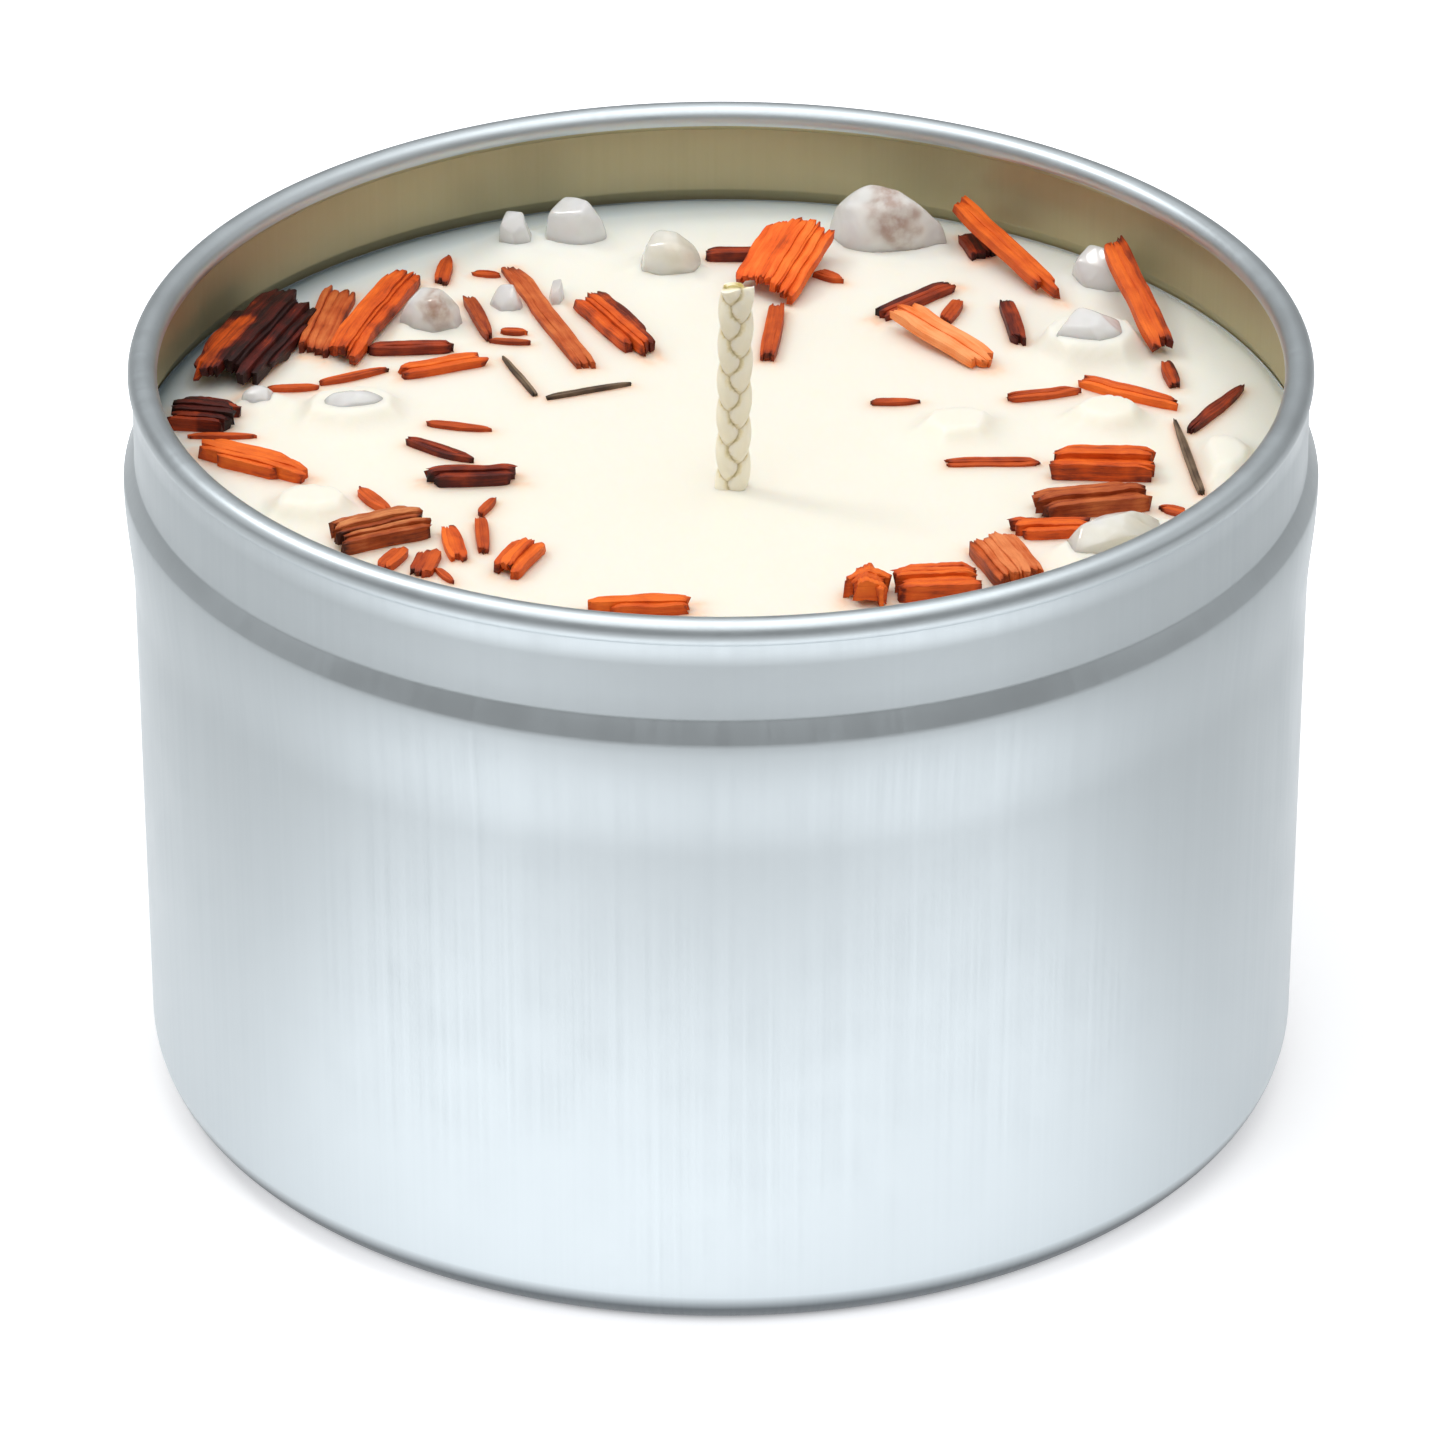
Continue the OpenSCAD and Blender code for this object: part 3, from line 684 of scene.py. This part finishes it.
def fibre_tree():
    """Geometry nodes for the frayed cotton fibres that stand on the wick's cut end."""
    tree, inp = geometry_tree("frayed_end", Width=0.0016, Depth=0.0008, Length=0.0004,
                              Radius=0.00004)
    patch = add(tree, "GeometryNodeMeshGrid",
                {"Size X": inp["Width"], "Size Y": inp["Depth"], "Vertices X": 3, "Vertices Y": 3})
    spots = add(tree, "GeometryNodeDistributePointsOnFaces",
                {"Mesh": patch, "Density": 7.0e7, "Seed": 5})
    stalk = add(tree, "GeometryNodeMeshCone",
                {"Radius Bottom": inp["Radius"], "Depth": inp["Length"], "Vertices": 6,
                 "Radius Top": 0.00001})
    tilt = add(tree, "FunctionNodeRandomValue",
               {"Min": (-0.5, -0.5, 0.0), "Max": (0.5, 0.5, 6.28), "Seed": 8},
               data_type="FLOAT_VECTOR")
    put = add(tree, "GeometryNodeInstanceOnPoints",
              {"Points": spots, "Instance": stalk, "Rotation": tilt})
    return close_tree(tree, put, inp["Material"])


def run_tree(tree, inputs):
    """The plain mesh that a geometry node tree makes from these named inputs."""
    holder = bpy.data.objects.new("holder", bpy.data.meshes.new("holder"))
    bpy.context.scene.collection.objects.link(holder)
    modifier = holder.modifiers.new("nodes", "NODES")
    modifier.node_group = tree
    for socket in tree.interface.items_tree:
        if socket.in_out == "INPUT" and socket.name in inputs:
            modifier[socket.identifier] = inputs[socket.name]
    graph = bpy.context.evaluated_depsgraph_get()
    mesh = bpy.data.meshes.new_from_object(holder.evaluated_get(graph))
    holder.modifiers.remove(modifier)
    bpy.data.objects.remove(holder)
    return mesh


class CANDLE_OT_wick(bpy.types.Operator):
    """Braid the flat cotton wick and fray its cut end"""

    bl_idname = "candle.wick"
    bl_label = "Wick"

    def execute(self, context):
        s = context.scene.candle_wick
        low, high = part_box("wick")
        yarn = cotton("cotton_yarn")
        braid = run_tree(braid_tree(), {
            "Period": s.period, "Width": s.width, "Dip": BRAID_DIP * s.strand, "Strand": s.strand,
            "Foot": WICK_FOOT, "Top": high.z - 0.00008, "Lean": s.lean, "Material": yarn})
        fray = run_tree(fibre_tree(), {"Material": yarn})
        bm = bmesh.new()
        bm.from_mesh(braid)
        crease_shade = bm.verts.layers.float.new("crease_shade")
        shift_y = (low.y + high.y) / 2
        flatten = s.thickness / (2 * (BRAID_DIP + 1) * s.strand)
        for vert in bm.verts:
            # Painted shade darkens the creases, where a strand's skin comes close to the next
            # strand's.
            x0 = vert.co.z * math.tan(s.lean)
            gaps = []
            for k in range(3):
                turn = math.tau * (k / 3 - vert.co.z / s.period)
                line_x = x0 + (s.width / 2 - s.strand) * math.sin(turn)
                line_y = BRAID_DIP * s.strand * math.sin(2 * turn)
                gaps.append(math.hypot(vert.co.x - line_x, vert.co.y - line_y) / s.strand)
            gaps.sort()
            vert[crease_shade] = max(0.0, min(1.0, (1.4 - gaps[1]) / 0.4))
            vert.co.y = shift_y + vert.co.y * flatten
            vert.co.x -= 0.002 * math.tan(s.lean)
        start = len(bm.verts)
        bm.from_mesh(fray)
        bm.verts.ensure_lookup_table()
        for vert in bm.verts[start:]:
            vert.co += Vector(((high.z - 0.002) * math.tan(s.lean), shift_y, high.z - 0.0006))
        for vert in bm.verts:
            vert.co.z = min(vert.co.z, high.z - 0.00002)
        obj = new_object("wick_braided", to_mesh(bm, "wick_braided"), [yarn])
        finish_piece(obj, "cotton", "wick", angle=70)
        tab = frame["nodes"]["wick_tab"]
        tab.data.materials.clear()
        tab.data.materials.append(tinplate("tab_steel_stamped", "#B9BCBE", 0.3))
        return {"FINISHED"}


def broken_crystal(part, low, high, seed):
    """A convex, facetted lump with seeded corners taken from the skin of one CAD pebble."""
    rng = random.Random(40 + seed)
    shape = BVHTree.FromBMesh(part)
    heart = (low + high) / 2
    heart.z = low.z + 0.3 * (high.z - low.z)
    reach = (high - low).length
    lump = bmesh.new()
    for k in range(34):
        z = 1 - 2 * (k + 0.5) / 34
        turn = k * math.pi * (3 - math.sqrt(5)) + rng.uniform(-0.3, 0.3)
        flat = math.sqrt(1 - z * z)
        way = Vector((flat * math.cos(turn), flat * math.sin(turn), z))
        far = shape.ray_cast(heart + way * reach, -way)[0]
        if far is not None:
            lump.verts.new(heart + (far - heart) * rng.uniform(0.82, 1.04))
    hull = bmesh.ops.convex_hull(lump, input=lump.verts)
    spare = {e for e in hull["geom_interior"] + hull["geom_unused"]
             if isinstance(e, bmesh.types.BMVert)}
    bmesh.ops.delete(lump, geom=list(spare), context="VERTS")
    bmesh.ops.dissolve_limit(lump, angle_limit=math.radians(9), verts=lump.verts, edges=lump.edges)
    bmesh.ops.recalc_face_normals(lump, faces=lump.faces)
    return lump


class CANDLE_OT_pebbles(bpy.types.Operator):
    """Round, dent and cloud the quartz pebbles"""

    bl_idname = "candle.pebbles"
    bl_label = "Quartz pebbles"

    def execute(self, context):
        s = context.scene.candle_toppings
        kinds = {"clear": milky_quartz("quartz_milky", "#FFFFFF", "#F4F6F3", "#C9BDB0", 0.3),
            "great": milky_quartz("quartz_mauve", "#FFFEFA", "#F4F3EF", "#A87C66", 0.75),
            "grey": milky_quartz("quartz_smoky", "#FDFDF9", "#F4F3ED", "#9C6A52", 0.8),
            "cream": milky_quartz("quartz_cream", "#FFFCF2", "#F1ECDD", "#DCC0AA", 0.4), }
        chosen = {"quartz_great": "great", "quartz_grey": "grey", "quartz_cream": "cream",
                  "quartz_round": "cream"}
        for name in PEBBLES:
            low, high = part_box(name)
            part = solids(name)[0]
            crystal = broken_crystal(part, low, high, PEBBLES.index(name))
            part.free()
            carrier = bpy.data.objects.new("carrier", to_mesh(crystal, "rough"))
            context.scene.collection.objects.link(carrier)
            worn = carrier.modifiers.new("worn", "BEVEL")
            worn.width = 0.0003
            worn.segments = 2
            worn.limit_method = "ANGLE"
            worn.angle_limit = math.radians(12)
            soften = carrier.modifiers.new("round", "SUBSURF")
            soften.levels = soften.render_levels = 3
            graph = context.evaluated_depsgraph_get()
            mesh = bpy.data.meshes.new_from_object(carrier.evaluated_get(graph))
            bpy.data.objects.remove(carrier)
            got = [v.co.copy() for v in mesh.vertices]
            lo = Vector(min(c[i] for c in got) for i in range(3))
            hi = Vector(max(c[i] for c in got) for i in range(3))
            seed = Vector((3.1 * len(name), 1.7 * low.x / MM, 2.3 * low.y / MM))
            mesh.update()
            for vert, normal in zip(mesh.vertices, [v.normal.copy() for v in mesh.vertices]):
                for i in range(3):
                    span = max(hi[i] - lo[i], 1e-9)
                    vert.co[i] = low[i] + (vert.co[i] - lo[i]) / span * (high[i] - low[i])
                # Hollows are 1.4 mm across, with smaller ones of 0.6 mm.
                dent = noise.noise(vert.co * 700 + seed) + 0.4 * noise.noise(vert.co * 1700 + seed)
                vert.co += normal * s.pebble_dent * (dent - 0.35)
            cloud = mesh.attributes.new("inclusion", "FLOAT", "POINT")
            if name in INCLUSIONS:
                heart = Vector(low[i] + (high[i] - low[i]) * INCLUSIONS[name][i] for i in range(3))
                for count, vert in enumerate(mesh.vertices):
                    off = (vert.co - heart) / (INCLUSIONS[name][3] * MM)
                    ragged = noise.noise(vert.co * 1100 + seed)
                    far = math.hypot(off.x + 0.3 * off.z, off.z / 1.5) + 0.7 * ragged
                    cloud.data[count].value = 1 / (1 + math.exp(5 * (far - 1)))
            else:
                cloud.data.foreach_set("value", [0.2] * len(mesh.vertices))
            mesh.name = name + "_tumbled"
            obj = new_object(name + "_tumbled", mesh, [kinds[chosen.get(name, "clear")]])
            finish_piece(obj, "quartz", name)
        return {"FINISHED"}


def chip_axes(part):
    """The middle of a chip and its long, cross and upward directions, from its points' spread."""
    spots = np.array([v.co for v in part.verts])
    middle = spots.mean(axis=0)
    spread = np.linalg.eigh(np.cov((spots - middle).T))[1]
    along = Vector(spread[:, 2])
    if along.x < 0:
        along.negate()
    across = Vector((0, 0, 1)).cross(along).normalized()
    return Vector(middle), along, across, along.cross(across).normalized()


def split_chip(part, seed, pitch, splinter, square, flute, flank):
    """A chip as a bundle of split fibres that follows one CAD chip, in a bmesh of closed slats.

    Each slat takes its top and underside from the chip, has its own height and torn ends, and
    carries its place in the grain and its tone."""
    middle, along, across, through = chip_axes(part)
    shape = BVHTree.FromBMesh(part)
    local = [((v.co - middle).dot(along), (v.co - middle).dot(across)) for v in part.verts]
    low_a, high_a = min(p[0] for p in local), max(p[0] for p in local)
    low_b, high_b = min(p[1] for p in local), max(p[1] for p in local)
    rng = random.Random(round(seed * 100))
    wide = high_b - low_b
    splinter = min(splinter, 0.3 * wide)
    thin = wide < SLIVER
    count = 3 if thin else max(3, round(wide / pitch))
    pitch = min(pitch, wide / 3)
    outline = {}
    for k in range(15):
        a = low_a + (high_a - low_a) * min(max(k / 14, 0.02), 0.98)
        spot = middle + along * a
        left = shape.ray_cast(spot - across * 0.01, across)[0]
        right = shape.ray_cast(spot + across * 0.01, -across)[0]
        if left is not None and right is not None:
            outline[k] = ((left - middle).dot(across), (right - middle).dot(across))
    edges = [low_b + wide * (k + (rng.uniform(-0.36, 0.36) if 0 < k < count else 0)) / count
             for k in range(count + 1)]
    step = 0.0
    start, way, extra, reach, overall = flank
    cuts = [rng.uniform(-0.6, 0.6) * min(wide, 0.25 * (high_a - low_a)) for _ in range(2)]
    made = bmesh.new()
    grain = made.verts.layers.float_vector.new("grain")
    tone = made.verts.layers.float.new("tone")
    for left, right in zip(edges, edges[1:]):
        b = (left + right) / 2
        hits = []
        for k in range(STATIONS + 1):
            a = low_a + (high_a - low_a) * k / STATIONS
            spot = middle + along * a + across * b
            top = shape.ray_cast(spot + through * 0.01, -through)[0]
            base = shape.ray_cast(spot - through * 0.01, through)[0]
            if top is not None and base is not None:
                hits.append((a, (base - middle).dot(through), (top - middle).dot(through)))
        if len(hits) < 2:
            continue
        first, last = hits[0][0], hits[-1][0]
        pull = 1.0 if thin else square
        first += (low_a - first) * pull + rng.uniform(-0.2, 1.0) * splinter
        last += (high_a - last) * pull - rng.uniform(-0.2, 1.0) * splinter
        lean = 2 * (b - low_b) / wide - 1
        if not thin:
            first += abs(cuts[0]) * (0.5 + 0.5 * math.copysign(lean, cuts[0] * lean))
            last -= abs(cuts[1]) * (0.5 + 0.5 * math.copysign(lean, cuts[1] * lean))
        if last - first < SHORTEST:
            continue
        shade = rng.gauss(0, 0.8)
        paler = extra if way and way * lean > start else 0.0
        if rng.random() < 0.4:
            step = rng.uniform(-1, 0.6) * pitch * 0.42 * flute
        lift = step + rng.uniform(-1, 1) * pitch * 0.1 * flute
        sharp = (rng.uniform(0.1, 0.8), rng.uniform(0.1, 0.8))
        rings = []
        for k in range(STATIONS + 1):
            a = first + (last - first) * k / STATIONS
            _, base, top = min(hits, key=lambda h: abs(h[0] - a))
            side = abs(2 * k / STATIONS - 1)
            tear = max(0.0, (side - 0.8) / 0.2)
            wave = noise.noise(Vector((a / MM * 0.5, b / MM * 2.0, seed))) * pitch
            top += lift + wave * 0.16
            top -= (top - base) * 0.35 * tear * sharp[k > STATIONS / 2]
            half = (right - left) / 2 * (1.16 - 0.4 * tear)
            spot_b = b
            if thin and outline:
                near_k = min(outline, key=lambda o: abs(o - k))
                lo_b, hi_b = outline[near_k]
                spot_b = lo_b + (hi_b - lo_b) * (b - low_b) / wide
                half *= ((hi_b - lo_b) / wide) ** 0.4
            bend = noise.noise(Vector((a / MM * 0.28, seed * 1.9, 0.5))) * min(wide, 0.001) * 0.1
            drift = wave * 0.16
            depth = pitch * rng.uniform(0.03, 0.13) * (0.25 + flute)
            section = ((-half, base), (half, base), (half, top - depth), (half * 0.35, top),
                       (-half * 0.45, top + depth * 0.25), (-half, top - depth * 1.2))
            burnt = 0.3 * max(0.0, (side - 0.86) / 0.14)
            ring = []
            for n, (x, z) in enumerate(section):
                skew = rng.uniform(-0.5, 0.5) * pitch * tear
                vert = made.verts.new(middle + along * (a + skew)
                                      + across * (spot_b + x + drift + bend) + through * z)
                vert[grain] = (a / MM + 11.3 * seed, (b + x) / MM + 3.7 * seed, z / MM)
                # Painted shade: the groove edges and the underside of each slat are made darker
                # through its tone.
                dip = 0.4 * flute if n in (2, 5) else 0.45 if n in (0, 1) else 0.0
                lit = paler if a - low_a < reach * (high_a - low_a) else 0.0
                vert[tone] = 0.5 + overall + lit + 0.16 * shade - 0.5 * dip - burnt
                ring.append(vert)
            rings.append(ring)
        for low, high in zip(rings, rings[1:]):
            for n in range(6):
                m = (n + 1) % 6
                made.faces.new((low[n], low[m], high[m], high[n]))
        made.faces.new(rings[0][::-1])
        made.faces.new(rings[-1])
    bmesh.ops.recalc_face_normals(made, faces=made.faces)
    return made


class CANDLE_OT_chips(bpy.types.Operator):
    """Split the wood chips and slivers into torn fibres, and dye them"""

    bl_idname = "candle.chips"
    bl_label = "Wood chips"

    def execute(self, context):
        s = context.scene.candle_toppings
        slots = {row["node"]: row["material_slot"] for row in frame["record"]["subparts"]}
        made = {}
        for count, name in enumerate(CHIPS):
            slot = slots[name]
            key = name if name in CHIP_COLOURS else slot
            if key not in made:
                made[key] = dyed_wood("dyed_" + key, *CHIP_COLOURS[key])
            whole = bmesh.new()
            whole.verts.layers.float_vector.new("grain")
            whole.verts.layers.float.new("tone")
            square = SQUARE_ENDED.get(name, 0.25)
            for k, part in enumerate(solids(name)):
                bundle = split_chip(part, 1 + count + 0.37 * k, s.fibre, s.splinter, square,
                                    FLUTES.get(name, 0.35), FLANKS.get(name, (0, 0, 0, 1, 0)))
                part.free()
                whole.from_mesh(to_mesh(bundle, "part"))
            obj = new_object(name + "_split", to_mesh(whole, name + "_split"), [made[key]])
            finish_piece(obj, slot, name, angle=38)
        return {"FINISHED"}


class CANDLE_OT_stage(bpy.types.Operator):
    """Lay the pale floor, hang the soft lights and place the camera"""

    bl_idname = "candle.stage"
    bl_label = "Stage"

    def execute(self, context):
        s = context.scene.candle_stage
        scene = context.scene
        half = s.floor_size / 2
        mesh = bpy.data.meshes.new("floor")
        mesh.from_pydata([(-half, -half, 0), (half, -half, 0), (half, half, 0), (-half, half, 0)],
                         [], [(0, 1, 2, 3)])
        floor = new_object("floor", mesh, [painted_light_floor("painted_light_sweep")])

        scene.view_settings.view_transform = "Standard"
        world = bpy.data.worlds.new("studio")
        scene.world = world
        world.use_nodes = True
        back = world.node_tree.nodes["Background"]
        back.inputs["Color"].default_value = linear("#FFFFFF")
        back.inputs["Strength"].default_value = s.sky

        for name, at, size, power in (("softbox_top", (0.08, 0.25, 0.8), 1.0, s.top_light),
                                      ("softbox_left", (-0.8, 0.1, 0.5), 0.6, s.side_light),
                                      ("softbox_right", (0.8, 0.1, 0.5), 0.6, s.side_light),
                                      ("softbox_front", (0.0, -0.08, 0.38), 0.45, s.front_light),
                                      ("softbox_key", (-0.3, 0.12, 0.45), 0.11, s.key_light)):
            light = bpy.data.lights.new(name, "AREA")
            light.shape = "SQUARE"
            light.size = size
            light.energy = power
            lamp = bpy.data.objects.new(name, light)
            lamp.location = at
            aim = Vector((0, 0, 0.03)) - Vector(at)
            lamp.rotation_euler = aim.to_track_quat("-Z", "Y").to_euler()
            scene.collection.objects.link(lamp)

        lens = bpy.data.cameras.new("camera")
        lens.lens = s.lens
        lens.sensor_width = 36.0
        lens.shift_x = -0.0007
        camera = bpy.data.objects.new("camera", lens)
        camera.location = (0, -0.50358, 0.30113)
        camera.rotation_euler = (math.radians(90 - 28.827), 0, 0)
        scene.collection.objects.link(camera)
        scene.camera = camera
        return {"FINISHED"}


class CANDLE_PT_panel(bpy.types.Panel):
    """The candle tin's steps and sizes"""

    bl_idname = "CANDLE_PT_panel"
    bl_label = "Candle Tin"
    bl_space_type = "VIEW_3D"
    bl_region_type = "UI"
    bl_category = "Candle"

    def draw(self, context):
        for group in SETTINGS:
            settings = getattr(context.scene, group)
            box = self.layout.box()
            for prop in settings.__annotations__:
                box.prop(settings, prop)
        for step in STEPS:
            self.layout.operator(step.bl_idname)


STEPS = (CANDLE_OT_tin, CANDLE_OT_wax, CANDLE_OT_wick, CANDLE_OT_pebbles, CANDLE_OT_chips,
         CANDLE_OT_stage)
SETTINGS = {"candle_tin": TinSettings, "candle_wax": WaxSettings, "candle_wick": WickSettings,
            "candle_toppings": ToppingSettings, "candle_stage": StageSettings}


def register():
    """Register the settings, the steps and the panel."""
    for name, kind in SETTINGS.items():
        bpy.utils.register_class(kind)
        setattr(bpy.types.Scene, name, bpy.props.PointerProperty(type=kind))
    for kind in (*STEPS, CANDLE_PT_panel):
        bpy.utils.register_class(kind)


def unregister():
    """Undo register."""
    for kind in (*STEPS, CANDLE_PT_panel):
        bpy.utils.unregister_class(kind)
    for name, kind in SETTINGS.items():
        delattr(bpy.types.Scene, name)
        bpy.utils.unregister_class(kind)


def main():
    """Make every piece in order."""
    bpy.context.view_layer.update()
    register()
    for step in STEPS:
        group, name = step.bl_idname.split(".")
        getattr(getattr(bpy.ops, group), name)()


if __name__ == "__main__":
    main()
